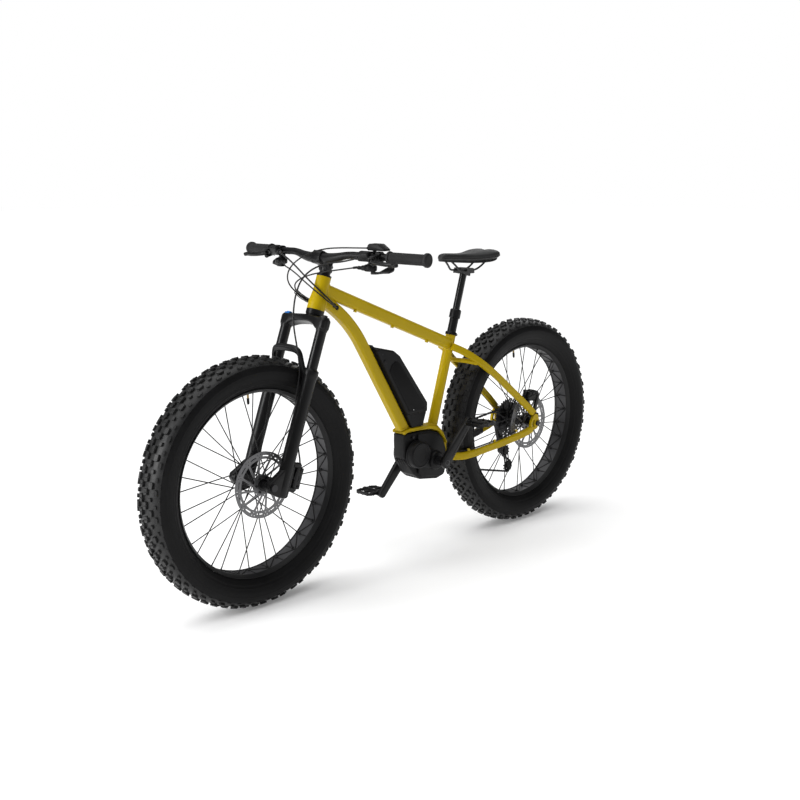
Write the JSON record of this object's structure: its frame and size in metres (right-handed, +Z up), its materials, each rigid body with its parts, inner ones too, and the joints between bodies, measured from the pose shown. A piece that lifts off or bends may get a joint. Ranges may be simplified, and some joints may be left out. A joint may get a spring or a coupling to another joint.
{
  "type": "fat tire bike",
  "caption": "Electric fat-tyre hardtail bicycle with a mid motor, down-tube battery, suspension fork, disc brakes, dropper seat post and derailleur drive.",
  "frame": {"origin": "on the ground midway between the two axles, under the centre of the wheelbase", "axes": "+X towards the front wheel, +Y to the rider's left, +Z up"},
  "size_m": [2.014, 0.8254, 1.088],
  "materials": {
    "frame_paint": "semi-gloss",
    "black_paint": "satin",
    "dark_anodised": "satin",
    "blue_anodised": "satin",
    "steel": "brushed",
    "tyre_rubber": "matte",
    "grip_rubber": "matte",
    "saddle_cover": "matte",
    "dark_plastic": "matte",
    "hose_plastic": "satin"
  },
  "bodies": {
    "frame": {"head_tube": "frame_paint", "headset_cups": "black_paint", "top_tube": "frame_paint", "motor_bracket": "frame_paint", "down_tube": "frame_paint", "seat_tube": "frame_paint", "seat_clamp": "black_paint", "dropouts": "frame_paint", "seat_stays": "frame_paint", "chain_stays": "frame_paint", "dropper_outer": "black_paint", "motor_housing": "dark_plastic", "motor_covers": "dark_plastic", "battery_case": "dark_plastic", "battery_cradle": "dark_plastic", "rear_axle": "dark_anodised", "rear_caliper": "black_paint", "derailleur_body": "black_paint", "chain": "steel", "control_cables": "hose_plastic"},
    "steering": {"fork_crown": "black_paint", "stanchions": "dark_anodised", "headset_spacers": "black_paint", "stem": "black_paint", "stem_faceplate": "black_paint", "handlebar": "black_paint", "grips": "grip_rubber", "brake_masters": "black_paint", "control_pods": "dark_plastic", "assist_unit": "dark_plastic", "front_brake_hose": "hose_plastic"},
    "lockout": {"lockout_knob": "blue_anodised"},
    "brake_left": {"brake_lever_left": "black_paint"},
    "brake_right": {"brake_lever_right": "black_paint"},
    "post_remote": {"dropper_lever": "dark_plastic"},
    "shifter": {"shift_lever": "dark_plastic"},
    "fork_slider": {"fork_lowers": "black_paint", "front_axle": "dark_anodised", "front_caliper": "black_paint"},
    "front_wheel": {"front_tyre": "tyre_rubber", "front_rim": "black_paint", "front_spokes": "black_paint", "front_hub": "black_paint", "front_rotor": "steel"},
    "rear_wheel": {"rear_tyre": "tyre_rubber", "rear_rim": "black_paint", "rear_spokes": "black_paint", "rear_hub": "black_paint", "rear_rotor": "steel"},
    "crank": {"crank_axles": "steel", "crank_arms": "black_paint", "chainring": "steel"},
    "left_pedal": {"pedal_left": "black_paint"},
    "right_pedal": {"pedal_right": "black_paint"},
    "sprockets": {"cassette": "steel"},
    "cage": {"derailleur_cage": "black_paint"},
    "upper_jockey": {"guide_pulley": "dark_plastic"},
    "lower_jockey": {"tension_pulley": "dark_plastic"},
    "saddle_post": {"dropper_inner": "dark_anodised", "saddle": "saddle_cover"}
  },
  "joints": [
    {"name": "steer", "type": "hinge", "parent": "frame", "child": "steering", "pos_m": [0.36686, 0, 0.87896], "axis": [-0.342, 0, 0.9397], "range_deg": [-60, 60], "deforming": ["control_cables"]},
    {"name": "lockout_turn", "type": "hinge", "parent": "steering", "child": "lockout", "pos_m": [0.40232, -0.083, 0.86633], "axis": [-0.342, 0, 0.9397], "range_deg": [0, 90]},
    {"name": "brake_left_pull", "type": "hinge", "parent": "steering", "child": "brake_left", "pos_m": [0.35992, 0.24706, 1.04084], "axis": [0.289, 0.058, 0.9556], "range_deg": [0, 15], "stiffness_Nm_per_rad": 2, "springref_deg": -11.46},
    {"name": "brake_right_pull", "type": "hinge", "parent": "steering", "child": "brake_right", "pos_m": [0.35992, -0.24706, 1.04084], "axis": [-0.289, 0.058, -0.9556], "range_deg": [0, 15], "stiffness_Nm_per_rad": 2, "springref_deg": -11.46},
    {"name": "post_remote_push", "type": "hinge", "parent": "steering", "child": "post_remote", "pos_m": [0.32319, 0.21311, 0.99479], "axis": [0, 0.0145, 0.9999], "range_deg": [-20, 0], "stiffness_Nm_per_rad": 0.6, "springref_deg": 11.46},
    {"name": "shift_push", "type": "hinge", "parent": "steering", "child": "shifter", "pos_m": [0.32319, -0.21311, 0.99479], "axis": [0, 0.0145, -0.9999], "range_deg": [-20, 0], "stiffness_Nm_per_rad": 0.6, "springref_deg": 11.46},
    {"name": "fork_travel", "type": "slide", "parent": "steering", "child": "fork_slider", "axis": [-0.342, 0, 0.9397], "range_m": [0, 0.1], "stiffness_N_per_m": 9000, "springref_m": -0.03, "deforming": ["front_brake_hose"]},
    {"name": "front_wheel_spin", "type": "hinge", "parent": "fork_slider", "child": "front_wheel", "pos_m": [0.624, 0, 0.383], "axis": [0, 1, 0], "continuous": true},
    {"name": "rear_wheel_spin", "type": "hinge", "parent": "frame", "child": "rear_wheel", "pos_m": [-0.624, 0, 0.383], "axis": [0, 1, 0], "continuous": true},
    {"name": "crank_turn", "type": "hinge", "parent": "frame", "child": "crank", "pos_m": [-0.125, 0, 0.324], "axis": [0, 1, 0], "continuous": true},
    {"name": "left_pedal_spin", "type": "hinge", "parent": "crank", "child": "left_pedal", "pos_m": [-0.24264, 0, 0.45016], "axis": [0, 1, 0], "continuous": true},
    {"name": "right_pedal_spin", "type": "hinge", "parent": "crank", "child": "right_pedal", "pos_m": [-0.00736, 0, 0.19784], "axis": [0, 1, 0], "continuous": true},
    {"name": "sprocket_spin", "type": "hinge", "parent": "frame", "child": "sprockets", "pos_m": [-0.624, 0, 0.383], "axis": [0, 1, 0], "continuous": true},
    {"name": "cage_swing", "type": "hinge", "parent": "frame", "child": "cage", "pos_m": [-0.639, -0.0637, 0.247], "axis": [0, 1, 0], "range_deg": [-8, 12], "stiffness_Nm_per_rad": 4, "deforming": ["chain"]},
    {"name": "upper_jockey_spin", "type": "hinge", "parent": "cage", "child": "upper_jockey", "pos_m": [-0.639, -0.0637, 0.247], "axis": [0, 1, 0], "continuous": true},
    {"name": "lower_jockey_spin", "type": "hinge", "parent": "cage", "child": "lower_jockey", "pos_m": [-0.653, -0.0637, 0.185], "axis": [0, 1, 0], "continuous": true},
    {"name": "post_travel", "type": "slide", "parent": "frame", "child": "saddle_post", "axis": [-0.2874, 0, 0.9578], "range_m": [-0.11, 0], "stiffness_N_per_m": 250, "springref_m": 0.4}
  ],
  "couplings": [
    {"joint": "sprocket_spin", "follows": "crank_turn", "ratio": 1.1765},
    {"joint": "upper_jockey_spin", "follows": "crank_turn", "ratio": -1.8182},
    {"joint": "lower_jockey_spin", "follows": "crank_turn", "ratio": 1.8182}
  ]
}
